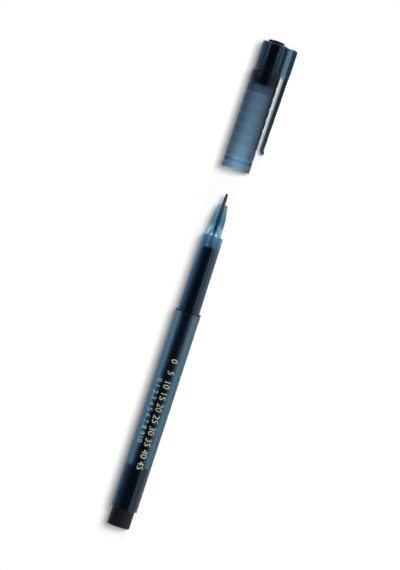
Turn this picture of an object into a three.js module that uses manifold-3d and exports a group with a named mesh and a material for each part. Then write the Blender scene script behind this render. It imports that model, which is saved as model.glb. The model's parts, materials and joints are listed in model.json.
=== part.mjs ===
// Felt-tip pen with a clear tinted barrel, lying on its side with its cap pulled off in line.
// Millimetres. The pen points along +Y. Barrel pieces are drawn from the tip of the nib, with
// everything else behind it, and cap pieces are drawn from the cap's mouth upwards.
import * as THREE from 'three';
import { mergeVertices } from 'three/addons/utils/BufferGeometryUtils.js';
import Module from 'manifold-3d';

const wasm = await Module();
wasm.setup();

// Room between pieces
const pressRoom = 0.1; // radial, round a piece that is pressed in
const endRoom = 0.3; // lengthwise, where one piece stops against another
const metalRoom = 0.06; // radial, between the fibre nib and its metal sleeve

// Nib and its metal sleeve
const nibRadius = 0.5;
const nibBare = 1.45; // fibre ahead of the sleeve
const nibSeat = 7; // fibre inside the reservoir
const sleeveWall = 0.14;
const sleeveBare = 3.3; // sleeve ahead of the nose
const sleeveSeat = 8; // sleeve inside the nose

// Ink reservoir in its plastic film
const reservoirRadius = 2.6;
const filmRoom = 0.1;
const filmWall = 0.15;
const filmLip = 0.6; // film left short of each end of the fibre
const reservoirRoom = 0.35; // radial, inside the grip

// Nose, the pale front moulding that holds the nib
const noseTipWall = 1.05;
const noseBareLength = 13.6;
const noseConeLength = 6.4;
const noseFlare = 0.15; // the part behind the cone still widens by this much
const noseWall = 0.9;
const noseSpigot = 4.4; // length inside the grip
const noseCavity = 7.7; // length of the hollow at the back
const noseCavityCone = 3.5; // length over which that hollow narrows to the channel

// Barrel: a grip that the cap covers, a step, and the body behind it
const gripWall = 1.1;
const gripTaper = 0.35;
const gripLength = 32.5;
const gripChamfer = 0.5;
const stepHeight = 0.8;
const stepChamfer = 0.3;
const bodyWall = 0.95;
const bodyTaper = 0.15;
const bodyLength = 85.6;
const boreStepLead = 0.5; // the bore starts to widen this far ahead of the step outside
const endChamfer = 0.2;

// End plug
const plugSleeveWall = 0.7;
const plugSleeveLength = 18.5;
const plugLip = 0.25; // head radius over the barrel's bore
const plugHeadLength = 7.3;
const plugRounding = 0.8;
const plugEndWall = 2.6;
const plugSeatDepth = 3.1; // from the barrel's end forward to the reservoir's seat
const plugLedge = 1.2; // width of that seat
const fluteCount = 20;
const fluteRadius = 0.45;
const fluteDepth = 0.2;

// Cap
const capRoom = 0.4; // radial, over the widest part of the grip
const capWall = 0.95;
const capStep = 0.5; // the upper part of the cap is slimmer by this radius
const capUpperLength = 12.5;
const capUpperWall = 1.2;
const capTopWall = 1.2;
const capShoulder = 1.2; // length of the slope between the two parts
const capRounding = 0.6;
const mouthFlare = 0.25;
const mouthFlareLength = 1.4;
const beadPlace = 3.6; // from the mouth to the ring that grips the barrel
const beadRoom = 0.2;
const beadLength = 1.2;
const bandStart = 5.1; // mouth to the first groove
const bandPitch = 4.53;
const grooveDepth = 0.22;
const grooveWidth = 0.8;
const bandCrown = 0.07;

// Black insert inside the cap: crown, stem and sealing cup in one moulding
const sealRoom = 0.3; // radial, between the cup and the nose
const stemRoom = 0.15; // radial, between the stem and the cone of the nose
const stemBoreRadius = 2.6;
const stemWall = 0.8;
const cupWall = 1.25;
const cupFloor = 0.7;
const cupLength = 6;
const cupSeatRun = 3.4; // the seat for the cup runs on this far below it
const nibRoom = 1.5; // ahead of the nib with the cap on
const insertEndWall = 2.65; // from the end of the stem's bore to the cap's top face
const crownEdge = 0.4; // crown's edge above the cap's top face
const crownDome = 0.6; // dome above that edge

// Clip: a head joined to the cap by a web, and an arm that springs from the head
const clipGap = 1.6; // between the cap's lower part and the arm
const headThick = 1.9;
const headLength = 12;
const headDrop = 0.6; // head's top below the cap's top face
const headSlope = 0.9;
const clipWidth = 4.2;
const clipEdge = 0.3; // rounding of its long edges
const webWidth = 1.9;
const webLift = 0.1; // web's lower edge above the foot of the head
const webSink = 0.5; // how far the web runs into the cap's wall
const armThick = 1.7;
const armThin = 0.1; // thickness lost between root and foot
const armLean = 0.35; // how much nearer the cap the arm is at its foot
const armLength = 32.4;
const footBend = 2.2; // radius of the foot's curl, on its middle line
const footCurl = 60; // degrees
const footThin = 0.4; // thickness lost along the foot
const armFootWidth = 3.6;

// How the pen lies: cap drawn off ahead of the nib, clip turned down towards the surface
const capPulled = 10.6; // nib to cap mouth
const clipTurn = 25.5; // degrees below the horizontal

const roundSegments = 36;
const fineSegments = 16;

// Radii, worked from the reservoir outwards
const sleeveBore = nibRadius + metalRoom;
const sleeveRadius = sleeveBore + sleeveWall;
const noseChannel = sleeveRadius + pressRoom;
const noseFrontRadius = noseChannel + noseTipWall;
const filmBore = reservoirRadius + filmRoom;
const filmRadius = filmBore + filmWall;
const gripBore = filmRadius + reservoirRoom;
const noseBackRadius = gripBore - pressRoom;
const noseConeRadius = noseBackRadius - noseFlare;
const gripFrontRadius = gripBore + gripWall;
const gripBackRadius = gripFrontRadius + gripTaper;
const bodyFrontRadius = gripBackRadius + stepHeight;
const bodyBackRadius = bodyFrontRadius + bodyTaper;
const bodyBore = bodyFrontRadius - bodyWall;
const plugSleeveRadius = bodyBore - pressRoom;
const plugSleeveBore = plugSleeveRadius - plugSleeveWall;
const plugHeadRadius = bodyBore + plugLip;
const capBore = gripBackRadius + capRoom;
const capRadius = capBore + capWall;
const capUpperRadius = capRadius - capStep;
const capUpperBore = capUpperRadius - capUpperWall;
const stemRadius = stemBoreRadius + stemWall;
const cupBore = noseBackRadius + sealRoom;
const cupRadius = cupBore + cupWall;

// Places along the barrel, from the tip of the nib backwards
const sleeveFrontY = -nibBare;
const noseFrontY = sleeveFrontY - sleeveBare;
const sleeveBackY = noseFrontY - sleeveSeat;
const coneBackY = noseFrontY - noseConeLength;
const gripFrontY = noseFrontY - noseBareLength;
const noseBackY = gripFrontY - noseSpigot;
const reservoirFrontY = noseBackY - endRoom;
const nibBackY = reservoirFrontY - nibSeat;
const stepY = gripFrontY - gripLength;
const barrelBackY = stepY - bodyLength;
const plugSeatY = barrelBackY + plugSeatDepth;
const reservoirBackY = plugSeatY + endRoom;
const plugFrontY = barrelBackY + plugSleeveLength;
const plugHeadY = barrelBackY - endRoom;
const plugBackY = plugHeadY - plugHeadLength;

// Places along the cap, from its mouth upwards
const closedMouthY = stepY + endRoom; // where the mouth stands with the cap on
const stemBoreEnd = nibRoom - closedMouthY;
const capTop = stemBoreEnd + insertEndWall;
const slopeTop = capTop - capUpperLength;
const slopeFoot = slopeTop - capShoulder;
const stemTipY = noseFrontY - noseConeLength
  * (stemBoreRadius - stemRoom - noseFrontRadius) / (noseConeRadius - noseFrontRadius);
const cupInnerTop = stemTipY - closedMouthY;
const cupTop = cupInnerTop + cupFloor;
const cupFoot = cupTop - cupLength;
const headTop = capTop - headDrop;
const headFoot = headTop - headLength;
const armTop = headFoot - endRoom;

// Smooth plastics and the metal of the sleeve, with the colours of the photographed pen
function plastic(colour, roughness, opacity = 1) {
  const transparent = opacity < 1;
  return new THREE.MeshStandardMaterial({ color: colour, roughness, metalness: 0, opacity, transparent });
}

// Solid of revolution round Y from an outline of [radius, y] corners. An outline that keeps off
// the axis is closed on itself, which makes a ring.
function turned(outline, segments = roundSegments) {
  const points = outline.map(([radius, y]) => new THREE.Vector2(radius, y));
  if (outline[0][0] > 0) points.push(points[0].clone());
  return new THREE.LatheGeometry(points, segments);
}

// Points of a quarter round that leaves one direction and arrives in the other, as angles in turns
function arc(centreRadius, centreY, radius, fromTurn, toTurn, steps) {
  return Array.from({ length: steps + 1 }, (_, i) => {
    const angle = 2 * Math.PI * (fromTurn + (toTurn - fromTurn) * i / steps);
    return [centreRadius + radius * Math.cos(angle), centreY + radius * Math.sin(angle)];
  });
}

// Closed mesh to a solid that can be joined and cut. Corners that share a place are merged, and
// the slivers that a lathe leaves on its axis are dropped.
function toSolid(geometry) {
  const bare = geometry.clone();
  bare.deleteAttribute('normal');
  bare.deleteAttribute('uv');
  const merged = mergeVertices(bare, 1e-4);
  const corners = merged.index.array;
  const kept = [];
  for (let i = 0; i < corners.length; i += 3) {
    const [a, b, c] = corners.slice(i, i + 3);
    if (a !== b && b !== c && c !== a) kept.push(a, b, c);
  }
  return new wasm.Manifold(new wasm.Mesh({
    numProp: 3,
    vertProperties: new Float32Array(merged.attributes.position.array),
    triVerts: new Uint32Array(kept),
  }));
}

function toGeometry(solid) {
  const mesh = solid.getMesh();
  const geometry = new THREE.BufferGeometry();
  geometry.setAttribute('position', new THREE.BufferAttribute(mesh.vertProperties, 3));
  geometry.setIndex(new THREE.BufferAttribute(mesh.triVerts, 1));
  geometry.computeVertexNormals();
  return geometry;
}

function piece(name, geometry, material) {
  const mesh = new THREE.Mesh(geometry, material);
  mesh.name = name;
  return mesh;
}

// Fibre rod with a rounded writing tip
function nibGeometry() {
  return turned([
    [0, nibBackY],
    [nibRadius, nibBackY],
    ...arc(0, -nibRadius, nibRadius, 0, 0.25, 4).slice(0, -1),
    [0, 0],
  ], fineSegments);
}

// Thin tube crimped over the fibre, its front edge drawn in a little
function sleeveGeometry() {
  const crimp = sleeveWall / 2;
  return turned([
    [sleeveBore, sleeveBackY],
    [sleeveRadius, sleeveBackY],
    [sleeveRadius, sleeveFrontY - 2 * sleeveWall],
    [sleeveRadius - crimp, sleeveFrontY],
    [sleeveBore, sleeveFrontY],
  ], fineSegments);
}

// Fibre rod with a blind hole that the nib is pushed into
function reservoirGeometry() {
  const hole = nibRadius + pressRoom;
  const holeEndY = nibBackY - endRoom;
  return turned([
    [0, reservoirBackY],
    [reservoirRadius, reservoirBackY],
    [reservoirRadius, reservoirFrontY],
    [hole, reservoirFrontY],
    [hole, holeEndY],
    [0, holeEndY],
  ]);
}

function filmGeometry() {
  return turned([
    [filmBore, reservoirBackY + filmLip],
    [filmRadius, reservoirBackY + filmLip],
    [filmRadius, reservoirFrontY - filmLip],
    [filmBore, reservoirFrontY - filmLip],
  ]);
}

// Cone and neck outside, a channel for the nib, and a hollow back that opens to the reservoir
function noseGeometry() {
  const cavityRadius = noseBackRadius - noseWall;
  const cavityFrontY = noseBackY + noseCavity;
  const edge = noseTipWall / 4;
  return turned([
    [cavityRadius, noseBackY],
    [noseBackRadius, noseBackY],
    [noseBackRadius, gripFrontY],
    [noseConeRadius, coneBackY],
    [noseFrontRadius, noseFrontY - edge],
    [noseFrontRadius - edge, noseFrontY],
    [noseChannel, noseFrontY],
    [noseChannel, cavityFrontY],
    [cavityRadius, cavityFrontY - noseCavityCone],
  ]);
}

// One moulding: grip, step and body, with a bore that widens at the step
function barrelGeometry() {
  const boreStepY = stepY + boreStepLead;
  return turned([
    [bodyBore, barrelBackY],
    [bodyBackRadius - endChamfer, barrelBackY],
    [bodyBackRadius, barrelBackY + endChamfer],
    [bodyFrontRadius, stepY - stepChamfer],
    [bodyFrontRadius - stepChamfer, stepY],
    [gripBackRadius, stepY],
    [gripFrontRadius, gripFrontY - gripChamfer],
    [gripFrontRadius - gripChamfer, gripFrontY],
    [gripBore, gripFrontY],
    [gripBore, boreStepY],
    [bodyBore, boreStepY - (bodyBore - gripBore)],
  ]);
}

// Fluted head behind a sleeve that is pressed into the barrel and seats the reservoir
function plugGeometry() {
  const seatBore = plugSleeveBore - plugLedge;
  const turnedPlug = toSolid(turned([
    [0, plugBackY],
    ...arc(plugHeadRadius - plugRounding, plugBackY + plugRounding, plugRounding, -0.25, 0, 4),
    [plugHeadRadius, plugHeadY],
    [plugSleeveRadius, plugHeadY],
    [plugSleeveRadius, plugFrontY],
    [plugSleeveBore, plugFrontY],
    [plugSleeveBore, plugSeatY],
    [seatBore, plugSeatY],
    [seatBore, plugBackY + plugEndWall],
    [0, plugBackY + plugEndWall],
  ]));
  const fluteLength = plugHeadLength + 2;
  const flute = new THREE.CylinderGeometry(fluteRadius, fluteRadius, fluteLength, 8);
  flute.translate(plugHeadRadius - fluteDepth + fluteRadius, plugHeadY - plugHeadLength / 2, 0);
  const cutter = toSolid(flute);
  let plug = turnedPlug;
  for (let i = 0; i < fluteCount; i += 1) {
    plug = plug.subtract(cutter.rotate([0, 360 * (i + 0.5) / fluteCount, 0]));
  }
  return toGeometry(plug);
}

// Ribbed skirt, slope, slim upper part and top face of the cap, from mouth to top
function capOutline() {
  const grooveCount = Math.floor((slopeFoot - bandStart) / bandPitch) + 1;
  const outline = [[capRadius - mouthFlare, 0], [capRadius, mouthFlare]];
  for (let i = 0; i < grooveCount; i += 1) {
    const grooveY = bandStart + i * bandPitch;
    const bandMiddle = i === 0 ? grooveY / 2 : grooveY - bandPitch / 2;
    outline.push(
      [capRadius + bandCrown, bandMiddle],
      [capRadius, grooveY - grooveWidth / 2],
      [capRadius - grooveDepth, grooveY],
      [capRadius, grooveY + grooveWidth / 2],
    );
  }
  outline.push(
    [capRadius, slopeFoot + grooveWidth],
    [capUpperRadius, slopeTop],
    ...arc(capUpperRadius - capRounding, capTop - capRounding, capRounding, 0, 0.25, 3),
  );
  return outline;
}

// Bore from the top hole down to the mouth: hole, slim chamber, seat of the insert's cup, skirt
function capBoreOutline() {
  const cupSeat = cupRadius + pressRoom;
  const beadBore = gripBackRadius + beadRoom;
  const seatFoot = cupFoot - cupSeatRun;
  return [
    [stemRadius + pressRoom, capTop],
    [stemRadius + pressRoom, capTop - capTopWall],
    [capUpperBore, capTop - capTopWall],
    [capUpperBore, cupTop + endRoom],
    [cupSeat, cupTop + endRoom],
    [cupSeat, seatFoot],
    [capBore, seatFoot - (capBore - cupSeat)],
    [capBore, beadPlace + beadLength / 2],
    [beadBore, beadPlace],
    [capBore, beadPlace - beadLength / 2],
    [capBore, mouthFlareLength],
    [capBore + mouthFlare, 0],
  ];
}

// Plate of a given width whose side view is an outline of [radius from the cap's axis, y] corners,
// with its long edges rounded off
function clipPlate(shape, width, edge) {
  const plate = new THREE.ExtrudeGeometry(shape, {
    depth: width - 2 * edge,
    bevelEnabled: edge > 0,
    bevelThickness: edge,
    bevelSize: edge,
    bevelOffset: -edge,
    bevelSegments: 2,
    curveSegments: 6,
  });
  plate.translate(0, 0, edge - width / 2);
  return plate;
}

const armInner = capRadius + clipGap;
const headOuter = armInner + headThick;

function capShellGeometry() {
  const shell = toSolid(turned([...capOutline(), ...capBoreOutline()]));

  const head = new THREE.Shape();
  head.moveTo(armInner, headFoot);
  head.lineTo(armInner + armThick, headFoot);
  head.lineTo(headOuter, headFoot + headThick);
  head.lineTo(headOuter, headTop - headSlope);
  head.quadraticCurveTo(headOuter - headSlope / 4, headTop - headSlope / 4, headOuter - headSlope, headTop);
  head.lineTo(armInner, headTop);

  const webInner = capUpperRadius - webSink;
  const web = new THREE.Shape();
  web.moveTo(webInner, headFoot + webLift);
  web.lineTo(armInner + headThick / 2, headFoot + webLift);
  web.lineTo(armInner + headThick / 2, headTop - clipEdge);
  web.lineTo(webInner, headTop);

  return toGeometry(shell
    .add(toSolid(clipPlate(web, webWidth, 0)))
    .add(toSolid(clipPlate(head, clipWidth, clipEdge))));
}

// Bar through a row of sections, each the same number of corners in the same order, with flat ends
function lofted(sections) {
  const count = sections[0].length;
  const ends = [sections[0], sections.at(-1)].map((section) => section
    .reduce((sum, corner) => sum.add(corner), new THREE.Vector3()).divideScalar(count));
  const corners = [...sections.flat(), ...ends];
  const startCentre = corners.length - 2;
  const endCentre = corners.length - 1;
  const lastRow = (sections.length - 1) * count;
  const faces = [];
  for (let k = 0; k < count; k += 1) {
    const next = (k + 1) % count;
    faces.push(startCentre, next, k, endCentre, lastRow + k, lastRow + next);
    for (let row = 0; row < lastRow; row += count) {
      faces.push(row + k, row + next, row + count + next);
      faces.push(row + k, row + count + next, row + count + k);
    }
  }
  const geometry = new THREE.BufferGeometry().setFromPoints(corners);
  geometry.setIndex(faces);
  geometry.computeVertexNormals();
  return geometry;
}

// Corners of a rounded rectangle round a point of the arm's middle line. turn is how far the line
// has curled from straight down, away from the cap.
function armSection(radius, y, turn, width, thick) {
  const outward = new THREE.Vector3(Math.cos(turn), Math.sin(turn), 0);
  const roundings = [[1, 1, 0], [-1, 1, 0.25], [-1, -1, 0.5], [1, -1, 0.75]];
  return roundings.flatMap(([alongThick, alongWidth, fromTurn]) => arc(
    alongThick * (thick / 2 - clipEdge),
    alongWidth * (width / 2 - clipEdge),
    clipEdge,
    fromTurn,
    fromTurn + 0.25,
    2,
  ).map(([across, sideways]) => new THREE.Vector3(radius, y, sideways).addScaledVector(outward, across)));
}

// Springy arm: straight and slightly leaning, with a foot that curls away from the cap
function clipArmGeometry() {
  const footSteps = 6;
  const curl = THREE.MathUtils.degToRad(footCurl);
  const kneeThick = armThick - armThin;
  const kneeRadius = armInner - armLean + kneeThick / 2;
  const kneeY = armTop - armLength + footBend * Math.sin(curl);
  const sections = [armSection(armInner + armThick / 2, armTop, 0, clipWidth, armThick)];
  for (let i = 0; i <= footSteps; i += 1) {
    const turn = curl * i / footSteps;
    const radius = kneeRadius + footBend * (1 - Math.cos(turn));
    const y = kneeY - footBend * Math.sin(turn);
    const thick = kneeThick - footThin * i / footSteps;
    sections.push(armSection(radius, y, turn, armFootWidth, thick));
  }
  return lofted(sections);
}

// Crown that shows on top, hollow stem, and the cup that seals round the nose
function insertGeometry() {
  const crownY = capTop + crownEdge;
  const domeRadius = (stemRadius ** 2 + crownDome ** 2) / (2 * crownDome);
  const domeTurn = Math.asin(stemRadius / domeRadius) / (2 * Math.PI);
  const dome = arc(0, crownY + crownDome - domeRadius, domeRadius, 0.25 - domeTurn, 0.25, 5);
  return turned([
    [0, stemBoreEnd],
    [stemBoreRadius, stemBoreEnd],
    [stemBoreRadius, cupInnerTop],
    [cupBore, cupInnerTop],
    [cupBore, cupFoot],
    [cupRadius, cupFoot],
    [cupRadius, cupTop],
    [stemRadius, cupTop],
    ...dome.slice(0, -1),
    [0, crownY + crownDome],
  ]);
}

const smokeBlue = 0x4a7088;
const paleTeal = 0x8fb8cc;
const inkBlack = 0x15161c;

const barrelPieces = new THREE.Group();
barrelPieces.add(
  piece('barrel', barrelGeometry(), plastic(smokeBlue, 0.25, 0.55)),
  piece('nose', noseGeometry(), plastic(paleTeal, 0.3, 0.6)),
  piece('nib', nibGeometry(), plastic(inkBlack, 0.9)),
  piece('nib_sleeve', sleeveGeometry(), new THREE.MeshStandardMaterial({
    color: 0xb9bec4,
    roughness: 0.3,
    metalness: 1,
  })),
  piece('ink_reservoir', reservoirGeometry(), plastic(inkBlack, 0.95)),
  piece('reservoir_film', filmGeometry(), plastic(0x1c1f28, 0.2)),
  piece('end_plug', plugGeometry(), plastic(0x1e2029, 0.4)),
);

const capPieces = new THREE.Group();
capPieces.position.y = capPulled;
capPieces.add(
  piece('cap_shell', capShellGeometry(), plastic(0x4e6979, 0.25, 0.6)),
  piece('clip_arm', clipArmGeometry(), plastic(0x2a4a60, 0.25, 0.8)),
  piece('cap_insert', insertGeometry(), plastic(inkBlack, 0.4)),
);

const pen = new THREE.Group();
pen.rotation.y = THREE.MathUtils.degToRad(clipTurn);
pen.add(barrelPieces, capPieces);

// The origin is on the surface, under the middle of the pen and cap as they lie
const feltTipPen = new THREE.Group();
feltTipPen.add(pen);
feltTipPen.updateMatrixWorld(true);
const extent = new THREE.Box3().setFromObject(feltTipPen, true);
const middle = extent.getCenter(new THREE.Vector3());
pen.position.set(-middle.x, -middle.y, -extent.min.z);

export default feltTipPen;
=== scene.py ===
import json
import math

import bmesh
import bpy
import numpy as np
from mathutils import Matrix, Vector


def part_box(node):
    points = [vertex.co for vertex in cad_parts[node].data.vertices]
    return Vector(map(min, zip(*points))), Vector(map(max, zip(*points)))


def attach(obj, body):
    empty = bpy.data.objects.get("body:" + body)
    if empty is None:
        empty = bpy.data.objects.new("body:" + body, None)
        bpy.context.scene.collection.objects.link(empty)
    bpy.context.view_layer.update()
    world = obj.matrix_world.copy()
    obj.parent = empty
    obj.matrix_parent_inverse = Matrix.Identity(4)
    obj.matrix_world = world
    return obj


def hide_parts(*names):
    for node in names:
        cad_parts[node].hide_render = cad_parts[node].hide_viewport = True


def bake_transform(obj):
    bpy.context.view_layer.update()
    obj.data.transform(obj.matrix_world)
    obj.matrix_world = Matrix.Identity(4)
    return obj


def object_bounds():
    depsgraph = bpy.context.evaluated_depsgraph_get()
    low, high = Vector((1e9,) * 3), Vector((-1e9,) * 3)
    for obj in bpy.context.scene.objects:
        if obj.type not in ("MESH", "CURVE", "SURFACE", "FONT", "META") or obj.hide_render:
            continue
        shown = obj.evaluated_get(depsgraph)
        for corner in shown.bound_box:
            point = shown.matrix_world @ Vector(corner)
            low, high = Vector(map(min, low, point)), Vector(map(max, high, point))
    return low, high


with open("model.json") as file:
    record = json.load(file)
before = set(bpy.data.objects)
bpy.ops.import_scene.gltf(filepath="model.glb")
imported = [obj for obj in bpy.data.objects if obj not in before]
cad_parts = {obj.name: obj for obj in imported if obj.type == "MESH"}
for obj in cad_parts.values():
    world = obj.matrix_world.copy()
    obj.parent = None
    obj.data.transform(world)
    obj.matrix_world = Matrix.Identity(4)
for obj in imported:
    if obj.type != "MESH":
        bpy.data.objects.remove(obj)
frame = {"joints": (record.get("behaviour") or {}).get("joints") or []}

cad_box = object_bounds()

# Ink reservoir
# A rope of bonded polyester fibres, soaked with black ink and cut square at both ends. It slides
# into the barrel from behind and stands on the end plug's seat. A blind hole takes the nib.
MM = 0.001
scene = bpy.context.scene
clip_joint = next(joint for joint in frame["joints"] if joint["name"] == "clip_flex")
along = np.array([0.0, 1.0, 0.0])              # from the tail to the top of the cap
across = np.array(clip_joint["axis"], float)   # square to the clip
across /= np.linalg.norm(across)
clipward = np.cross(along, across)             # from the pen's axis towards the clip
reservoir_low, reservoir_high = (np.array(corner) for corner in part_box("ink_reservoir"))
pen_axis = (reservoir_low + reservoir_high) / 2 * (1, 0, 1)
nib_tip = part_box("nib")[1].y / MM


def rounded(corners, radii, ring=True, steps=5, lead=0.05):
    """Outline of [radius, y] corners, in millimetres, with each corner turned into an arc.

    Along both sides of a corner the arc starts at its radius over the tangent of half the angle
    between them, and its centre lies on the sum of their unit vectors. Points on the arc are
    spokes of that circle, blended from the first to the last by the sines of their shares of
    the sweep. A short straight lead beside each arc keeps long faces flat in the light. A ring
    closes on itself; any other outline keeps its two end points.
    """
    given = np.array(corners, float)
    if ring:
        corner, before, after = given, np.roll(given, 1, 0), np.roll(given, -1, 0)
    else:
        corner, before, after = given[1:-1], given[:-2], given[2:]
    sides = np.stack([before - corner, after - corner])
    lengths = np.linalg.norm(sides, axis=2)
    sides /= lengths[..., None]
    half = np.arccos((sides[0] * sides[1]).sum(1)) / 2
    radius = np.broadcast_to(np.array(radii, float), half.shape)
    reach = radius / np.tan(half)
    if ring:
        others = np.stack([np.roll(reach, 1), np.roll(reach, -1)])
    else:
        others = np.stack([np.append(0, reach[:-1]), np.append(reach[1:], 0)])
    leads = np.minimum(lead, 0.3 * np.maximum(lengths - reach - others, 0))
    centre = corner + sides.sum(0) * (radius / np.sin(half) / (2 * np.cos(half)))[:, None]
    first, last = (corner + sides * reach[:, None] - centre)
    sweep = (math.pi - 2 * half)[:, None, None]
    share = np.linspace(0, 1, steps + 1)[None, :, None]
    arcs = centre[:, None] + (
        np.sin((1 - share) * sweep) * first[:, None] + np.sin(share * sweep) * last[:, None]
    ) / np.sin(sweep)
    ends = corner + sides * (reach + leads)[..., None]
    points = np.concatenate([ends[0][:, None], arcs, ends[1][:, None]], 1).reshape(-1, 2)
    return points if ring else np.concatenate([given[:1], points, given[-1:]])


def skin(name, rows, poles=None):
    """Closed surface over rows of points, each row a loop. The last row joins the first, or else
    the rows run between two poles, each a point that its nearest row fans out from."""
    count, columns = rows.shape[:2]
    index = np.arange(count * columns).reshape(count, columns)
    beside = np.roll(index, -1, 1)
    above, above_beside = np.roll(index, -1, 0), np.roll(beside, -1, 0)
    quads = np.stack([index, above, above_beside, beside], -1)
    points = rows.reshape(-1, 3)
    if poles is None:
        faces = quads.reshape(-1, 4).tolist()
    else:
        start, end = len(points), len(points) + 1
        first = np.stack([np.full(columns, start), index[0], beside[0]], -1)
        last = np.stack([index[-1], np.full(columns, end), beside[-1]], -1)
        faces = quads[:-1].reshape(-1, 4).tolist() + first.tolist() + last.tolist()
        points = np.concatenate([points, poles])
    mesh = bpy.data.meshes.new(name)
    mesh.from_pydata(points, [], faces)
    mesh.shade_smooth()
    made = bpy.data.objects.new(name, mesh)
    scene.collection.objects.link(made)
    return made


def lathe(name, outline, ring=True, columns=160, shape=None):
    """Surface of revolution. At turn t, an outline point [radius, y] lies at the pen's axis plus
    radius times (cos t towards the clip + sin t across it), plus y along the pen. shape, where
    given, works out new radii from the radii, the y places and the turns. An outline that isn't
    a ring starts and ends on the axis, which closes both poles."""
    turn = np.arange(columns) * 2 * math.pi / columns
    body = outline if ring else outline[1:-1]
    radius = np.repeat(body[:, :1], columns, 1)
    if shape is not None:
        radius = shape(radius, body[:, 1:], turn[None])
    spokes = np.cos(turn)[:, None] * clipward + np.sin(turn)[:, None] * across
    rows = pen_axis + MM * (radius[..., None] * spokes + body[:, 1, None, None] * along)
    poles = None if ring else pen_axis + MM * outline[[0, -1], 1:] * along
    return skin(name, rows, poles)


def add(tree, kind, inputs=None, **settings):
    """New shader node with its settings and inputs. An input given as a socket is joined to it."""
    made = tree.nodes.new("ShaderNode" + kind)
    for key, value in settings.items():
        setattr(made, key, value)
    for key, value in (inputs or {}).items():
        if isinstance(value, bpy.types.NodeSocket):
            tree.links.new(value, made.inputs[key])
        else:
            made.inputs[key].default_value = value
    return made


def calc(tree, operation, *values):
    """One step of arithmetic on numbers and sockets."""
    return add(tree, "Math", dict(enumerate(values)), operation=operation).outputs[0]


def blank(name):
    """Empty material, its node tree, and its pattern place: metres from the pen's axis, with X
    towards the clip and Y along the pen."""
    material = bpy.data.materials.new(name)
    material.use_nodes = True
    tree = material.node_tree
    tree.nodes.clear()
    place = add(tree, "TexCoord").outputs["Object"]
    turn = math.atan2(clipward[2], clipward[0])
    centred = add(tree, "Mapping", {"Vector": place, "Location": -pen_axis})
    turned = add(tree, "Mapping", {"Vector": centred.outputs[0], "Rotation": (0, turn, 0)})
    return material, tree, turned.outputs[0]


def noise(tree, place, size, stretch=(1, 1, 1), detail=3, rough=0.55):
    """Noise with features of about that size in millimetres, drawn out by stretch."""
    scale = [1 / (size * MM * s) for s in stretch]
    scaled = add(tree, "Mapping", {"Vector": place, "Scale": scale})
    return add(tree, "TexNoise", {
        "Vector": scaled.outputs[0], "Scale": 1, "Detail": detail, "Roughness": rough,
    }).outputs["Fac"]


def ranged(tree, value, low, high, to_low, to_high):
    """The value carried from one range to another, and held at its ends."""
    return add(tree, "MapRange", {
        "Value": value, "From Min": low, "From Max": high, "To Min": to_low, "To Max": to_high,
    }).outputs["Result"]


def tinted(tree, value, low, high):
    """Colour between two, by a value from 0 to 1. Either end may be a socket."""
    ends = [end if isinstance(end, bpy.types.NodeSocket) else (*end, 1) for end in (low, high)]
    return add(tree, "Mix", {"Factor": value, "A": ends[0], "B": ends[1]},
               data_type="RGBA").outputs["Result"]


def relief(tree, height, depth, under=None):
    """Normal of a height from 0 to 1 that stands for a depth in millimetres."""
    inputs = {"Height": height, "Distance": depth * MM, "Strength": 1}
    if under is not None:
        inputs["Normal"] = under
    return add(tree, "Bump", inputs).outputs["Normal"]


def finish(tree, shader, inside=None):
    """Material output for a surface shader, and for what fills the piece."""
    out = add(tree, "OutputMaterial", {"Surface": shader.outputs[0]})
    if inside is not None:
        tree.links.new(inside.outputs[0], out.inputs["Volume"])


def made_of(piece, material, body, node=None):
    """Gives a piece its material and the body that it rides, and hides the node that it stands
    for.
    """
    piece.data.materials.append(material)
    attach(piece, body)
    if node:
        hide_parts(node)


def reservoir_fibres(radius, y, turn):
    """Radii of a rod whose surface is a bundle of strands: shallow dips wherever the sines of
    37, 61 and 97 times the turn add up to more than zero."""
    dips = np.sin(37 * turn) + np.sin(61 * turn + 1.1) + np.sin(97 * turn + 2.3)
    return radius - 0.02 * np.clip(dips, 0, None) * (radius > 2.5)


reservoir_back, reservoir_front = reservoir_low[1] / MM, reservoir_high[1] / MM
nib_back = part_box("nib")[0].y / MM
reservoir = lathe("ink_reservoir_rod", rounded([
    [0, reservoir_back],
    [2.6, reservoir_back],
    [2.6, reservoir_front],
    [0.6, reservoir_front],
    [0.6, nib_back - 0.3],
    [0, nib_back - 0.3],
], [0.15, 0.15, 0.12, 0.05], ring=False), ring=False, columns=320, shape=reservoir_fibres)

inked_fibre, tree, place = blank("inked_fibre")
strands = noise(tree, place, 0.09, (1, 60, 1), 4)
clumps = noise(tree, place, 0.8, (1, 14, 1), 3)
finish(tree, add(tree, "BsdfPrincipled", {
    "Base Color": tinted(tree, clumps, (0.004, 0.004, 0.008), (0.012, 0.012, 0.02)),
    "Roughness": ranged(tree, strands, 0.3, 0.7, 0.7, 0.95),
    "Normal": relief(tree, strands, 0.03),
    "Sheen Weight": 0.1,
    "Sheen Roughness": 0.5,
}))
made_of(reservoir, inked_fibre, "barrel", "ink_reservoir")

# Reservoir film
# Thin polypropylene film wrapped round the fibres and welded along an overlap. It keeps the
# ink off the barrel, stops a little short of each end, and looks black with the ink behind it.
def film_seam(radius, y, turn):
    """Radii with a welded lap at one side: a smooth ridge, a bell curve of the turn."""
    lap = np.exp(-(((turn - math.radians(215)) / 0.16) ** 2))
    return radius + 0.07 * lap * (radius > 2.8)


film_low, film_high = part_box("reservoir_film")
film = lathe("reservoir_film_wrap", rounded([
    [2.7, film_low.y / MM],
    [2.85, film_low.y / MM],
    [2.85, film_high.y / MM],
    [2.7, film_high.y / MM],
], 0.05, lead=0.02), shape=film_seam)

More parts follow.
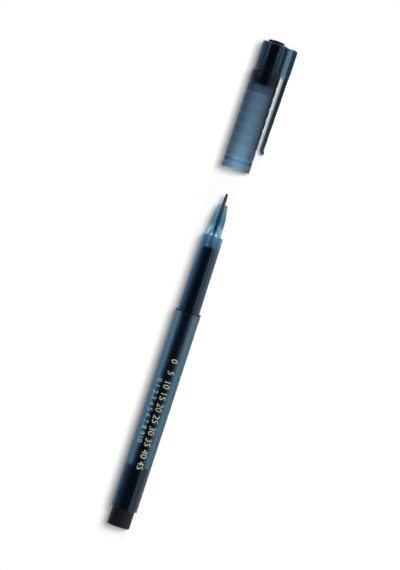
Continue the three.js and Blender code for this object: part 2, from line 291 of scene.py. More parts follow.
reservoir_film, tree, place = blank("reservoir_film")
creases = noise(tree, place, 1.6, (1, 5, 1), 4, 0.6)
stain = noise(tree, place, 6, (1, 3, 1), 3)
finish(tree, add(tree, "BsdfPrincipled", {
    "Base Color": tinted(tree, stain, (0.01, 0.012, 0.018), (0.02, 0.024, 0.032)),
    "Roughness": ranged(tree, creases, 0.35, 0.7, 0.2, 0.38),
    "Normal": relief(tree, creases, 0.035),
    "IOR": 1.75,
}))
made_of(film, reservoir_film, "barrel", "reservoir_film")

# Nose
# The front moulding, in a paler clear plastic. A cone that grips the nib's sleeve ends in a
# hollow spigot with crush ribs, which is pressed into the front of the barrel.
nose_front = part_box("nose")[1].y / MM
nose_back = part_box("nose")[0].y / MM
barrel_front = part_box("barrel")[1].y / MM
cone_back = nose_front - 6.4
sleeve_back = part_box("nib_sleeve")[0].y / MM


def crush_ribs(radius, y, turn):
    """Radii of the spigot with 24 ribs along it: the fourth power of the cosine of twelve times
    the turn, faded in and out along the spigot."""
    rib = np.abs(np.cos(12 * turn)) ** 4
    fade = np.clip((barrel_front - 0.5 - y) / 0.6, 0, 1) * np.clip((y - nose_back) / 0.6, 0, 1)
    return radius + 0.08 * rib * fade * (radius > 2.9)


nose = lathe("nose_cone", np.concatenate([
    rounded([
        [3.1, barrel_front - 3.0],
        [3.1, barrel_front],
        [2.95, cone_back],
        [1.85, nose_front],
        [0.69, nose_front],
        [0.69, nose_back + 7.7],
        [2.2, nose_back + 4.2],
        [2.2, nose_back],
        [3.1, nose_back],
        [3.1, nose_back + 0.5],
    ], [30, 4, 0.3, 0.05, 0.3, 0.4, 0.12, 0.15], ring=False, steps=6),
    np.array([[3.1, nose_back + y] for y in (0.7, 0.9, 1.1)]),
]), shape=crush_ribs, columns=192)


def along_pen(tree, place):
    """Part of a pattern place that runs along the pen."""
    return add(tree, "SeparateXYZ", {0: place}).outputs["Y"]


def off_axis(tree, place):
    """Distance of a pattern place from the pen's axis."""
    flat = add(tree, "VectorMath", {0: place, 1: (1, 0, 1)}, operation="MULTIPLY")
    return add(tree, "VectorMath", {0: flat.outputs[0]}, operation="LENGTH").outputs["Value"]


def clear_plastic(name, taken, polish, waves=0.012, flow=0.0015, bore=None, satin=None):
    """Clear plastic tinted in the mass. taken is what each millimetre takes of red, green and
    blue, as an exponent. Its skin has soft moulding waves, fine flow lines along the pen, and
    polish that varies with handling. The core pins that shape a bore leave it frosted: bore is a
    y place, the radii that the frost keeps within ahead of it and behind it, and the roughness
    added. satin is two y places and the roughness that all the skin gains between them."""
    material, tree, place = blank(name)
    swell = noise(tree, place, 5, (1, 2.5, 1), 1)
    lines = noise(tree, place, 0.5, (1, 40, 1), 3)
    handled = noise(tree, place, 9, (1, 2, 1), 5, 0.7)
    scratches = noise(tree, place, 0.12, (1, 90, 1), 2)
    rubbed = calc(tree, "ADD", ranged(tree, scratches, 0.66, 0.74, 0, 0.12),
                  ranged(tree, handled, 0.35, 0.7, *polish))
    y = along_pen(tree, place)
    if bore is not None:
        level, ahead, behind, frost = bore
        limit = ranged(tree, y, (level - 0.05) * MM, (level + 0.05) * MM, behind * MM, ahead * MM)
        within = calc(tree, "LESS_THAN", off_axis(tree, place), limit)
        rubbed = calc(tree, "MULTIPLY_ADD", within, frost, rubbed)
    if satin is not None:
        low, high, gain = satin
        below = ranged(tree, y, (high + 0.4) * MM, (high - 0.4) * MM, 0, gain)
        above = ranged(tree, y, (low - 0.4) * MM, (low + 0.4) * MM, 0, 1)
        rubbed = calc(tree, "MULTIPLY_ADD", above, below, rubbed)
    shader = add(tree, "BsdfPrincipled", {
        "Base Color": (1, 1, 1, 1),
        "Roughness": rubbed,
        "Normal": relief(tree, lines, flow, relief(tree, swell, waves)),
        "Transmission Weight": 1.0,
        "IOR": 1.5,
    })
    most = max(taken) * 1.2
    inside = add(tree, "VolumeAbsorption", {
        "Color": (*(1 - t / most for t in taken), 1),
        "Density": most / MM,
    })
    finish(tree, shader, inside)
    return material


pale_nose = clear_plastic("pale_nose", (0.53, 0.36, 0.3), (0.1, 0.18), waves=0.004,
                          bore=(nose_back + 7.4, 1.0, 2.6, 0.4),
                          satin=(nose_back - 1, barrel_front, 0.4))
made_of(nose, pale_nose, "barrel", "nose")

# Nib sleeve
# Drawn steel tube, cut to length and crimped over the fibre at its front edge. The nose is
# pressed tight round it, and its skin is dull in front of the nose and bright inside, where its
# colour also holds a painted teal glow that stands in for light carried through the nose.
sleeve_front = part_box("nib_sleeve")[1].y / MM
sleeve = lathe("nib_sleeve_tube", rounded([
    [0.56, sleeve_back],
    [0.70, sleeve_back],
    [0.70, sleeve_front - 0.28],
    [0.63, sleeve_front],
    [0.56, sleeve_front],
], [0.03, 0.03, 0.3, 0.03, 0.02], lead=0.02), columns=96)

sleeve_metal, tree, place = blank("sleeve_metal")
draw_lines = noise(tree, place, 0.05, (1, 80, 1), 3)
turning = noise(tree, place, 0.06, (12, 1, 12), 2)
dulled = tinted(tree, draw_lines, (0.14, 0.14, 0.15), (0.22, 0.22, 0.23))
# Inside the nose the metal's colour is a painted teal glow, for light carried through the nose.
clean_with_painted_glow = tinted(tree, draw_lines, (0.66, 0.96, 1.0), (0.72, 0.98, 1.0))
bare = ranged(tree, along_pen(tree, place), (nose_front - 0.5) * MM, nose_front * MM, 0, 1)
finish(tree, add(tree, "BsdfPrincipled", {
    "Base Color": tinted(tree, bare, clean_with_painted_glow, dulled),
    "Metallic": ranged(tree, bare, 0, 1, 0.6, 0.85),
    "Roughness": ranged(tree, turning, 0.3, 0.7, 0.5, 0.65),
    "Normal": relief(tree, draw_lines, 0.0015),
}))
made_of(sleeve, sleeve_metal, "barrel", "nib_sleeve")

# Nib
# A fine rod of pressed and bonded fibres, ground to a round writing tip. Its back end is pushed
# into the reservoir, which feeds it by wicking. Behind the sleeve its colour is a painted teal
# glow that stands in for light carried through the nose.
nib = lathe("nib_rod", np.concatenate([
    rounded([[0, nib_back], [0.5, nib_back], [0.5, nib_tip - 0.5]], 0.08, ring=False),
    np.array([[0.5 * math.cos(a), nib_tip - 0.5 + 0.5 * math.sin(a)]
              for a in np.linspace(0, math.pi / 2, 10)[1:-1]]),
    [[0, nib_tip]],
]), ring=False, columns=64)

nib_fibre, tree, place = blank("nib_fibre")
fibres = noise(tree, place, 0.03, (1, 30, 1), 3)
soaked = tinted(tree, fibres, (0.004, 0.004, 0.006), (0.02, 0.02, 0.026))
# Painted teal glow behind the sleeve, for light carried through the nose plastic.
painted_teal_glow = tinted(tree, fibres, (0.08, 0.56, 0.72), (0.12, 0.64, 0.8))
sleeved = ranged(tree, along_pen(tree, place), (sleeve_back - 0.3) * MM, sleeve_back * MM, 0, 1)
finish(tree, add(tree, "BsdfPrincipled", {
    "Base Color": tinted(tree, sleeved, painted_teal_glow, soaked),
    "Roughness": ranged(tree, fibres, 0.3, 0.7, 0.6, 0.9),
    "Normal": relief(tree, fibres, 0.008),
    "Sheen Weight": 0.08,
}))
made_of(nib, nib_fibre, "barrel", "nib")

# Barrel
# One clear moulding tinted smoke blue: a slim grip that the cap covers, a sharp step, and the
# longer body behind it. It is open at both ends, and its bore widens at the step.
barrel_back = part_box("barrel")[0].y / MM
step_y = nib_tip - 50.85
bore_step = step_y + 0.5
barrel = lathe("barrel_tube", rounded([
    [4.5, barrel_back],
    [5.6, barrel_back],
    [5.45, step_y],
    [4.65, step_y],
    [4.3, barrel_front],
    [3.2, barrel_front],
    [3.2, bore_step],
    [4.5, bore_step - 1.3],
], [0.12, 0.22, 0.25, 0.15, 0.45, 0.15, 0.5, 0.5]), columns=192)

tinted_barrel = clear_plastic("tinted_barrel", (0.97, 0.62, 0.46), (0.02, 0.07),
                              waves=0.004, bore=(step_y, 3.75, 5.0, 0.42))
made_of(barrel, tinted_barrel, "barrel", "barrel")

# Printed scale
# Pad-printed ink on the body: plain numerals every 5 mm in cream, and beside them a smaller row
# in pale green that counts the tenths of one inch.
def body_radius(y):
    """Radius of the body at y: a straight taper from the step to the back."""
    return 5.45 + 0.15 * (step_y - y) / (step_y - barrel_back)


def wrapped(flat, y_start, middle_turn):
    """Flat print laid on the body. The flat x runs back along the pen from y_start, and the
    flat y, divided by the radius there, turns towards the clip from middle_turn."""
    y = y_start - flat[:, 0]
    radius = body_radius(y) + 0.006
    turn = middle_turn - flat[:, 1] / radius
    spokes = np.cos(turn)[:, None] * clipward + np.sin(turn)[:, None] * across
    return pen_axis + MM * (radius[:, None] * spokes + y[:, None] * along)


def print_ink(name, colour, worn):
    """Opaque printing ink with a faint mottle, where wear lets the colour down a little."""
    material, tree, place = blank(name)
    mottle = noise(tree, place, 0.35, (1, 1, 1), 4, 0.7)
    finish(tree, add(tree, "BsdfPrincipled", {
        "Base Color": tinted(tree, ranged(tree, mottle, 0.35, 0.75, 0, 1), colour, worn),
        "Roughness": ranged(tree, mottle, 0.3, 0.7, 0.4, 0.6),
        "Normal": relief(tree, mottle, 0.004),
    }))
    return material


def numeral_row(name, values, pitch, height, y_start, turn):
    """Row of numerals, each centred at its place in the row. The font's digits are 0.7 of its
    size tall, and their strokes are drawn in by 0.04 mm to keep them fine. The numerals are cut
    across every quarter millimetre, so that they can bend round the body, and laid on it."""
    points, faces, before = [], [], 0
    for place, value in enumerate(values):
        lettering = bpy.data.curves.new("numeral", "FONT")
        lettering.body, lettering.align_x, lettering.align_y = str(value), "CENTER", "CENTER"
        lettering.size, lettering.offset = height / 0.7, -0.04
        writer = bpy.data.objects.new("numeral", lettering)
        scene.collection.objects.link(writer)
        bpy.context.view_layer.update()
        flat = bpy.data.meshes.new_from_object(writer)
        bpy.data.objects.remove(writer)
        corners = np.zeros(len(flat.vertices) * 3)
        flat.vertices.foreach_get("co", corners)
        points.append(corners.reshape(-1, 3) + (place * pitch, 0, 0))
        faces += [[before + v for v in face.vertices] for face in flat.polygons]
        before += len(points[-1])
        bpy.data.meshes.remove(flat)
    flat = bpy.data.meshes.new(name)
    flat.from_pydata(np.concatenate(points), [], faces)
    cutting = bmesh.new()
    cutting.from_mesh(flat)
    for level in np.arange(-1.75, 1.76, 0.25):
        whole = cutting.verts[:] + cutting.edges[:] + cutting.faces[:]
        bmesh.ops.bisect_plane(cutting, geom=whole, plane_co=(0, level, 0), plane_no=(0, 1, 0))
    bmesh.ops.remove_doubles(cutting, verts=cutting.verts, dist=1e-4)
    cutting.to_mesh(flat)
    cutting.free()
    corners = np.zeros(len(flat.vertices) * 3)
    flat.vertices.foreach_get("co", corners)
    placed = wrapped(corners.reshape(-1, 3), y_start, turn)
    flat.vertices.foreach_set("co", placed.ravel())
    made = bpy.data.objects.new(name, flat)
    scene.collection.objects.link(made)
    ink = made.modifiers.new("ink", "SOLIDIFY")
    ink.thickness, ink.offset = 0.02 * MM, 1
    return made


numerals = numeral_row("scale_numerals", range(0, 46, 5), 5, 2.7, nib_tip - 72.2,
                       math.radians(81))
made_of(numerals, print_ink("cream_ink", (0.56, 0.52, 0.36), (0.34, 0.32, 0.24)), "barrel")
tenths = numeral_row("inch_tenths", range(0, 11), 2.54, 2.2, nib_tip - 81.2, math.radians(119))
made_of(tenths, print_ink("pale_ink", (0.4, 0.58, 0.55), (0.3, 0.44, 0.42)), "barrel")

# End plug
# Satin black moulding that closes the back. Its sleeve is pressed into the barrel and carries
# a ledge that the reservoir stands on, and its fluted head gives a grip to pull it by.
plug_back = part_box("end_plug")[0].y / MM
plug_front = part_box("end_plug")[1].y / MM
head_y = barrel_back - 0.3
seat_y = barrel_back + 3.1
flute_count, flute_distance, flute_radius = 20, 5.0, 0.45


def flutes(radius, y, turn):
    """Radii of the head with its flutes. Each is the near side of a circle centred outside it.
    With off the turn from that centre, the near side lies at distance cos off, less the root of
    the circle's radius squared less (distance sin off) squared."""
    pitch = 2 * math.pi / flute_count
    off = (turn % pitch) - pitch / 2
    inside = np.clip(flute_radius ** 2 - (flute_distance * np.sin(off)) ** 2, 0, None)
    flute = np.where(inside > 0, flute_distance * np.cos(off) - np.sqrt(inside), radius)
    return np.where(y < head_y + 0.01, np.minimum(radius, flute), radius)


plug = lathe("end_plug_fluted", rounded([
    [0, plug_back],
    [4.75, plug_back],
    [4.75, head_y],
    [4.4, head_y],
    [4.4, plug_front],
    [3.7, plug_front],
    [3.7, seat_y],
    [2.5, seat_y],
    [2.5, plug_back + 2.6],
    [0, plug_back + 2.6],
], [0.8, 0.1, 0.05, 0.2, 0.1, 0.1, 0.1, 0.2], ring=False, steps=7),
    ring=False, columns=400, shape=flutes)


def black_plastic(name, low, high, shine, worn):
    """Black plastic with a spark-etched skin. worn is two distances from the pen's axis and the
    roughness gained from the first to the second."""
    material, tree, place = blank(name)
    etch = noise(tree, place, 0.12, (1, 1, 1), 3, 0.6)
    cloud = noise(tree, place, 4, (1, 2, 1), 3)
    near, far, gain = worn
    gained = ranged(tree, off_axis(tree, place), near * MM, far * MM, 0, gain)
    finish(tree, add(tree, "BsdfPrincipled", {
        "Base Color": tinted(tree, cloud, low, high),
        "Roughness": calc(tree, "ADD", ranged(tree, etch, 0.3, 0.7, *shine), gained),
        "Normal": relief(tree, etch, 0.004),
        "IOR": 1.5,
    }))
    return material


# Handling polishes the ridges of the head.
black_plug = black_plastic("black_plug", (0.003, 0.003, 0.007), (0.006, 0.006, 0.012),
                           (0.28, 0.42), worn=(4.6, 4.74, -0.08))
made_of(plug, black_plug, "barrel", "end_plug")

# Cap shell
# Clear smoke-blue moulding with a ribbed skirt, a slope, and a slimmer top. A bead near its
# mouth snaps over the grip, and a web on one side carries the clip.
cap_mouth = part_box("cap_shell")[0].y / MM
groove_start, groove_pitch, groove_count = 5.1, 4.53, 8
cap_radius, cap_upper_radius = 6.0, 5.5
cap_top, slope_foot, slope_top = 54.4, 41.0, 42.2


def skirt():
    """Outline of the ribbed skirt, from above the mouth to below the slope. Each band is crowned
    by a parabola of its distance from the band's middle, and each groove is a bell curve."""
    y = np.arange(0.9, slope_foot + 0.4, 0.17)
    band = (y - groove_start) / groove_pitch
    crown = 0.05 * (1 - (2 * (band % 1) - 1) ** 2)
    nearest = groove_start + groove_pitch * np.clip(np.round(band), 0, groove_count - 1)
    groove = 0.22 * np.exp(-(((y - nearest) / 0.3) ** 2))
    return np.stack([cap_radius + crown * (y < slope_foot) - groove, y], -1)


ribs = skirt()
shell_outline = np.concatenate([ribs[:-1], rounded([
    ribs[-1],
    [cap_radius, 41.75],
    [cap_upper_radius, slope_top],
    [cap_upper_radius, cap_top],
    [3.5, cap_top],
    [3.5, cap_top - 0.6],
    [4.3, cap_top - 0.6],
    [4.3, 43.31],
    [4.75, 43.31],
    [4.75, 35.8],
    [4.85, 33.7],
    [5.05, 33.3],
    [5.05, 4.25],
    [4.85, 3.6],
    [5.05, 2.95],
    [5.05, 1.4],
    [5.3, 0],
    [cap_radius, 0],
    ribs[0],
], [0.3, 0.3, 0.9, 0.15, 0.1, 0.3, 0.15, 0.1, 0.1, 0.1, 0.15, 0.1, 0.15, 0.1, 0.4, 0.12, 0.3],
    ring=False)[:-1]])
shell = lathe("cap_shell_ribbed", shell_outline + [0, cap_mouth], columns=192)


def plate(name, outline, wide, edge):
    """Plate whose side view is an outline of [radius, y] points, with its long edges rounded.
    Each row is the outline drawn in by the edge radius less its sine, and set sideways by half
    the width less the edge radius less its cosine."""
    ahead = np.roll(outline, -1, 0) - np.roll(outline, 1, 0)
    inward = np.stack([-ahead[:, 1], ahead[:, 0]], -1) / np.linalg.norm(ahead, axis=1)[:, None]
    angle = np.linspace(0, math.pi / 2, 5)
    drawn_in = edge * (1 - np.sin(angle))
    sideways = wide / 2 - edge * (1 - np.cos(angle))
    drawn_in = np.append(drawn_in, drawn_in[::-1])
    sideways = np.append(sideways, -sideways[::-1])
    flat = outline + drawn_in[:, None, None] * inward
    rows = pen_axis + MM * (flat[..., :1] * clipward + flat[..., 1:] * along
                            + sideways[:, None, None] * across)
    return skin(name, rows, rows[[0, -1]].mean(1))


arm_inner, head_outer = 7.6, 9.5
head_top, head_foot = 54.1, 42.1
web = plate("cap_web", rounded([
    [5.0, head_top],
    [5.0, head_foot + 0.1],
    [5.7, head_foot - 0.6],
    [6.25, head_foot],
    [7.05, head_foot],
    [arm_inner + 0.03, head_foot - 0.6],
    [arm_inner + 0.03, head_top],
], [0.1, 0.05, 0.1, 0.5, 0.5, 0.05, 0.1]) + [0, cap_mouth], 1.9, 0.12)
joining = shell.modifiers.new("one_moulding", "BOOLEAN")
joining.operation, joining.solver, joining.object = "UNION", "MANIFOLD", web
bpy.context.view_layer.update()
depsgraph = bpy.context.evaluated_depsgraph_get()
moulded = bpy.data.meshes.new_from_object(shell.evaluated_get(depsgraph))
shell.modifiers.clear()
shell.data = moulded
moulded.materials.clear()
moulded.set_sharp_from_angle(angle=math.radians(32))
bpy.data.objects.remove(web)

# The skirt is satin from the bead to the slope. Its mouth and the top are polished.
satin_foot, satin_top = cap_mouth + 4.8, cap_mouth + 41.8
tinted_cap = clear_plastic("tinted_cap", (1.07, 0.75, 0.56), (0.05, 0.12), waves=0.008,
                           bore=(satin_top, 4.9, 5.5, 0.15), satin=(satin_foot, satin_top, 0.2))
made_of(shell, tinted_cap, "cap", "cap_shell")

# Cap insert
# Black moulding pushed through the top of the cap: a domed crown, a hollow stem, and a cup that
# closes round the nose so that the nib doesn't dry out.
crown_radii = np.linspace(3.15, 0.3, 14)
crown_y = 55.7 - 0.4 * (crown_radii / 3.4) ** 2
insert = lathe("cap_insert_cup", np.concatenate([
    rounded([
        [0, 52.05],
        [2.6, 52.05],
        [2.6, 42.31],
        [3.4, 42.31],
        [3.4, 36.1],
        [4.65, 36.1],
        [4.65, 43.01],
        [3.4, 43.01],
        [3.4, 55.3],
        [3.3, 55.32],
    ], [0.3, 0.2, 0.3, 0.25, 0.25, 0.2, 0.15, 0.12], ring=False),
    np.stack([crown_radii, crown_y], -1),
    [[0, 55.7]],
]) + [0, cap_mouth], ring=False)

# The cup is left as moulded, and duller than the crown and the stem.
black_insert = black_plastic("black_insert", (0.001, 0.001, 0.003), (0.003, 0.003, 0.006),
                             (0.22, 0.32), worn=(3.6, 4.4, 0.35))
made_of(insert, black_insert, "cap", "cap_insert")

# Clip
# Part of the cap's moulding: a head on the web, and a springy arm that leans towards the skirt
# and curls out at its foot, where it slides over a pocket. The real arm flexes from its root.
head_corner, arm_top, knee_y = 1.1, 41.8, 11.305
foot_bend, foot_curl = 2.2, math.radians(60)


def clip_stations():
    """Rows of [radius, y, curl, width, thickness] down the clip's middle line. The head's outer
    top corner is a quarter circle. The arm leans in along a straight line to its knee, and the
    foot follows an arc: radius out by the bend times one less the cosine, and y down by the
    bend times the sine."""
    turn = np.linspace(math.pi / 2, 0, 9)
    top_outer = head_outer - head_corner * (1 - np.cos(turn))
    top_y = head_top - head_corner + head_corner * np.sin(turn)
    y = np.concatenate([top_y, [49, 46, 44, 43.2, 42.1], np.linspace(arm_top - 0.5, knee_y, 26)])
    outer = np.interp(y, [arm_top, 44], [arm_inner + 1.7, head_outer])
    outer[:len(top_outer)] = top_outer
    leaned = np.clip((arm_top - y) / (arm_top - knee_y), 0, 1)
    inner = arm_inner - 0.35 * leaned
    outer = outer - 0.45 * leaned
    wide = 4.2 - 0.6 * leaned
    straight = np.stack([(inner + outer) / 2, y, 0 * y, wide, outer - inner], -1)
    share = np.linspace(0, 1, 13)[1:]
    curl = share * foot_curl
    foot = np.stack([
        straight[-1, 0] + foot_bend * (1 - np.cos(curl)),
        knee_y - foot_bend * np.sin(curl),
        curl,
        np.full(len(curl), 3.6),
        1.6 - 0.4 * share,
    ], -1)
    return np.concatenate([straight, foot])


def bar(name, stations, edge, end=0.25, steps=4):
    """Bar through stations of [radius, y, curl, width, thickness]. Each row is a rectangle with
    its corners rounded, stood square to the middle line. Four more rows at each end draw in by a
    quarter circle, which rounds the ends."""
    radius, y, curl, wide, thick = stations.T
    angle = np.linspace(0, math.pi / 2, 5)[:-1]
    inset = end * (1 - np.cos(angle[::-1]))
    near = np.stack([radius[0] + 0 * angle, y[0] - end * (1 - np.sin(angle[::-1])),
                     curl[0] + 0 * angle], -1)
    back = end * (1 - np.sin(angle))
    far = np.stack([radius[-1] - back * math.sin(curl[-1]), y[-1] + back * math.cos(curl[-1]),
                    curl[-1] + 0 * angle], -1)
    keep = (y < y[0] - end) & (np.hypot(radius - radius[-1], y - y[-1]) > end)
    line = np.concatenate([near, stations[keep, :3], far])
    size = np.concatenate([
        np.stack([wide[0] - 2 * inset, thick[0] - 2 * inset], -1),
        stations[keep, 3:],
        np.stack([wide[-1] - 2 * inset[::-1], thick[-1] - 2 * inset[::-1]], -1),
    ])
    share = np.linspace(0, math.pi / 2, steps + 1)
    quarter = np.concatenate([share + k * math.pi / 2 for k in (0, 1, 2, 3)])
    side_x = np.repeat([1, -1, -1, 1], steps + 1)
    side_z = np.repeat([1, 1, -1, -1], steps + 1)
    rim = np.minimum(edge, size.min(1) * 0.45)[:, None]
    outward = side_x * (size[:, 1:] / 2 - rim) + rim * np.cos(quarter)
    sideways = side_z * (size[:, :1] / 2 - rim) + rim * np.sin(quarter)
    outward, sideways = outward[:, ::-1, None], sideways[:, ::-1, None]
    across_line = np.cos(line[:, 2:]) * clipward + np.sin(line[:, 2:]) * along
    rows = pen_axis + MM * (
        (line[:, :1] * clipward + line[:, 1:2] * along)[:, None]
        + outward * across_line[:, None] + sideways * across)
    return skin(name, rows, rows[[0, -1]].mean(1))


stations = clip_stations()
stations[:, 1] += cap_mouth
clip = bar("cap_clip", stations, 0.35)
tinted_clip = clear_plastic("tinted_clip", (0.95, 0.68, 0.58), (0.05, 0.12))
clip.data.materials.append(tinted_clip)
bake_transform(clip)
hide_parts("clip_arm")

# Floor
# White paper sweep under the pen. To the camera it is white wherever light falls, and it keeps
# the shadow. Seen through the clear plastic, it shows a painted glow with painted light and shade,
# which stands in for the light that the pen gathers on it.
bpy.ops.mesh.primitive_plane_add(size=8)
floor = bpy.context.active_object
floor.name = "floor"
paper, tree, place = blank("white_sweep")
grain = noise(tree, place, 0.6, (1, 1, 1), 2)
ray = add(tree, "LightPath")
seen = tinted(tree, ray.outputs["Is Camera Ray"], (0.9, 0.9, 0.9), (0.985, 0.985, 0.975))
white = add(tree, "BsdfDiffuse", {
    "Color": tinted(tree, ranged(tree, grain, 0.3, 0.7, 0, 0.03), seen, (0.8, 0.8, 0.82)),
})

spot = add(tree, "SeparateXYZ", {0: add(tree, "TexCoord").outputs["Object"]})
under_axis = pen_axis[0] - pen_axis[2] * across[0] / across[2]
beside = calc(tree, "SUBTRACT", spot.outputs["X"], under_axis)


def along_floor(low, high, before, after):
    """Value that changes along the pen, from one y place in millimetres to another."""
    return ranged(tree, spot.outputs["Y"], low * MM, high * MM, before, after)


def across_floor(low, high, before, after):
    """Value that changes across the floor, measured in millimetres from under the pen's axis as
    the camera sees it, towards the clip."""
    return ranged(tree, beside, low * MM, high * MM, before, after)


# A fifth of what the camera sees is a glow, weaker close to the pen: painted shade that keeps
# its shadow deep.
clip_side = calc(tree, "SUBTRACT", beside, along_floor(46, 52, 4.5 * MM, 9 * MM))
painted_shade_near_pen = calc(tree, "MULTIPLY", across_floor(-11.5, -8.5, 0, 1),
             ranged(tree, clip_side, 0, 1 * MM, 1, 0))
ends = calc(tree, "MULTIPLY", along_floor(-114, -109, 0, 1), along_floor(106, 110, 1, 0))
glow = add(tree, "Emission", {
    "Color": (1, 1, 1, 1),
    "Strength": ranged(tree, calc(tree, "MULTIPLY", painted_shade_near_pen, ends), 0, 1, 1.5, 1.05),
})
lit = add(tree, "MixShader", {
    0: calc(tree, "MULTIPLY", ray.outputs["Is Camera Ray"], 0.2),
    1: white.outputs[0], 2: glow.outputs[0],
})

# Through the plastic the paper shows a painted glow, brightest under the axis, by a bell curve 3.5
# mm wide.
bell = calc(tree, "EXPONENT", calc(tree, "MULTIPLY", calc(tree, "POWER", beside, 2),
                                   -1 / (3.5 * MM) ** 2))
band = ranged(tree, bell, 0, 1, 0.55, 1)
# The painted glow brightens towards the mouth of the cap, and dims under the pen and under the
# cap's top.
under_skirt = calc(tree, "MULTIPLY", along_floor(49.5, 63.5, 1.6, 1),
                   along_floor(63.5, 82, 1.1, 0.8))
elsewhere = calc(tree, "MULTIPLY", along_floor(40, 48, 0.852, 1), along_floor(91, 93, 1, 0.6))
beside_web = calc(tree, "MULTIPLY", across_floor(6.2, 6.8, 0, 0.53), along_floor(90.5, 91.5, 0, 1))
painted_gathered_light = calc(tree, "MULTIPLY_ADD", band, calc(tree, "MULTIPLY", under_skirt, elsewhere),
                beside_web)
# Painted shade dims the glow in the gap ahead of the nib, and a little in the lee of the barrel.
ahead = calc(tree, "MULTIPLY", along_floor(39.5, 40.5, 0, 0.65), along_floor(49.8, 51.4, 1, 0))
lee = calc(tree, "MULTIPLY", across_floor(-1, 2, 0, 0.05), along_floor(18, 22, 1, 0))
shaded = calc(tree, "SUBTRACT", 1, calc(tree, "ADD", lee, ahead))
# A painted bright patch lies behind the nose's cone, for light that the hollow nose throws there.
painted_bright_patch = calc(tree, "MULTIPLY", along_floor(16, 17.4, 0, 1), along_floor(19.5, 21, 3.2, 2.3))
lifted = calc(tree, "MULTIPLY_ADD", painted_bright_patch, along_floor(22.5, 25.5, 1, 0), shaded)
# Painted glow of the paper, seen only through the plastic.
under = add(tree, "Emission", {
    "Color": (1, 1, 1, 1), "Strength": calc(tree, "MULTIPLY", painted_gathered_light, lifted),
})
mirrored = add(tree, "Emission", {"Color": (1, 1, 1, 1), "Strength": 0.5})
behind = add(tree, "MixShader", {
    0: ray.outputs["Is Glossy Ray"], 1: lit.outputs[0], 2: mirrored.outputs[0],
})
finish(tree, add(tree, "MixShader", {
    0: ray.outputs["Is Transmission Ray"], 1: behind.outputs[0], 2: under.outputs[0],
}))
floor.data.materials.append(paper)

# Studio
# A key lamp up to the right, and a soft cool room: bright to the right, dimmer to the left, and
# dark overhead where the camera stands. The plastic gathers more of the room from the left.
key_lamp = bpy.data.lights.new("key", "AREA")
key_lamp.shape, key_lamp.energy, key_lamp.size = "DISK", 43.0, 0.62
key = bpy.data.objects.new("key", key_lamp)
scene.collection.objects.link(key)
elevation, azimuth, distance = math.radians(54), math.radians(14), 2.0
toward_key = np.array([math.cos(elevation) * math.cos(azimuth),
                       math.cos(elevation) * math.sin(azimuth), math.sin(elevation)])
key.location = toward_key * distance
key.rotation_euler = Vector(toward_key).to_track_quat("Z", "Y").to_euler()
key.visible_glossy = key.visible_transmission = False


def standing(piece, right, up, out, place):
    """Turns a piece so that its X, Y and Z point right, up and out, and puts it at the place."""
    facing = Matrix((right, up, out)).transposed().to_4x4()
    facing.translation = Vector(place)
    piece.matrix_world = facing


def panel(name, angle, spread, y_low, y_high, strength, reach=0.45):
    """Glowing panel that faces the pen's axis from the angle round it in degrees, 0 at the
    camera and 90 at the clip. It is as wide as its spread in degrees at that reach."""
    lamp = bpy.data.lights.new(name, "AREA")
    lamp.shape, lamp.size = "RECTANGLE", y_high - y_low
    lamp.size_y = 2 * reach * math.tan(math.radians(spread) / 2)
    lamp.energy = strength * math.pi * lamp.size * lamp.size_y
    lamp.color = 0.7, 0.9, 1.2
    made = bpy.data.objects.new(name, lamp)
    scene.collection.objects.link(made)
    back = math.cos(math.radians(angle)) * across + math.sin(math.radians(angle)) * clipward
    standing(made, along, np.cross(back, along), back,
             pen_axis + reach * back + (y_low + y_high) / 2 * along)


panel("right_panel", 50.5, 25, -0.6, 0.06, 0.72)
panel("right_top_panel", 50.5, 25, 0.122, 0.25, 1.0)
panel("left_panel", -50, 24, 0.122, 0.25, 0.9)

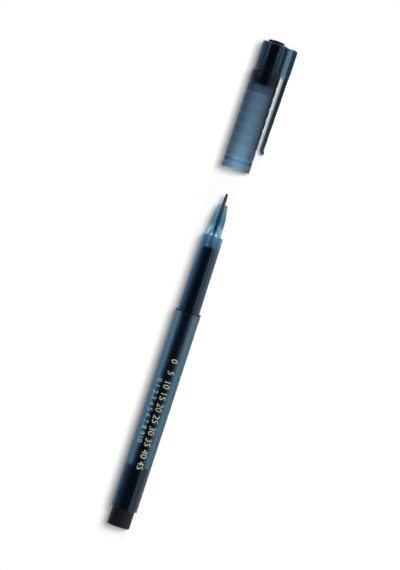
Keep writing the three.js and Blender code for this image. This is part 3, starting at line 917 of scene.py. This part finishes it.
world = bpy.data.worlds.new("studio")
scene.world = world
world.use_nodes = True
tree = world.node_tree
tree.nodes.clear()
direction = add(tree, "TexCoord").outputs["Generated"]
to_clip, to_camera = (
    add(tree, "VectorMath", {0: direction, 1: way}, operation="DOT_PRODUCT").outputs["Value"]
    for way in (clipward, across))
around = calc(tree, "ARCTAN2", to_clip, to_camera)


def wall(start, full, strength):
    """Light of the room that grows to its strength from one angle round the pen to another."""
    return ranged(tree, around, math.radians(start), math.radians(full), 0, strength)


ray = add(tree, "LightPath")
through = calc(tree, "MULTIPLY_ADD", wall(-60, -95, 1.3), ray.outputs["Is Transmission Ray"],
               wall(-98, -112, 0.6))
walls = calc(tree, "ADD", calc(tree, "ADD", wall(38, 46, 0.13), wall(-38, -46, 0.05)), through)
overhead = ranged(tree, ray.outputs["Is Transmission Ray"], 0, 1, 0.05, 0.09)
cool = tinted(tree, ray.outputs["Is Diffuse Ray"], (0.7, 0.9, 1.25), (1, 1, 1))
room = add(tree, "Background", {"Color": cool, "Strength": calc(tree, "ADD", walls, overhead)})
backdrop = add(tree, "Background", {"Color": (1, 1, 1, 1), "Strength": 1.0})
chosen = add(tree, "MixShader", {
    0: ray.outputs["Is Camera Ray"], 1: room.outputs[0], 2: backdrop.outputs[0],
})
add(tree, "OutputWorld", {"Surface": chosen.outputs[0]})

# Camera
# A long lens square to the clip, turned so that the pen runs from lower left to upper right. In
# the picture, each pixel covers 0.4116 mm, and the pen's middle lies a little left and up.
tilt, pixel, picture_height = math.radians(18.17), 0.4116, 570
picture_right = math.cos(tilt) * clipward + math.sin(tilt) * along
picture_up = math.cos(tilt) * along - math.sin(tilt) * clipward
middle = pen_axis + (np.array(cad_box[0]) + np.array(cad_box[1])) / 2 * (0, 1, 0)
aim = middle + MM * pixel * (2.37 * picture_right - 1.33 * picture_up)
lens_distance, sensor = 1600, 36
lens = bpy.data.cameras.new("camera")
lens.type, lens.sensor_width = "PERSP", sensor
lens.lens = sensor * lens_distance / (picture_height * pixel)
lens.clip_start, lens.clip_end = 0.1, 20
camera = bpy.data.objects.new("camera", lens)
scene.collection.objects.link(camera)
standing(camera, picture_right, picture_up, across, aim + lens_distance * MM * across)
scene.camera = camera

scene.view_settings.view_transform = "Standard"
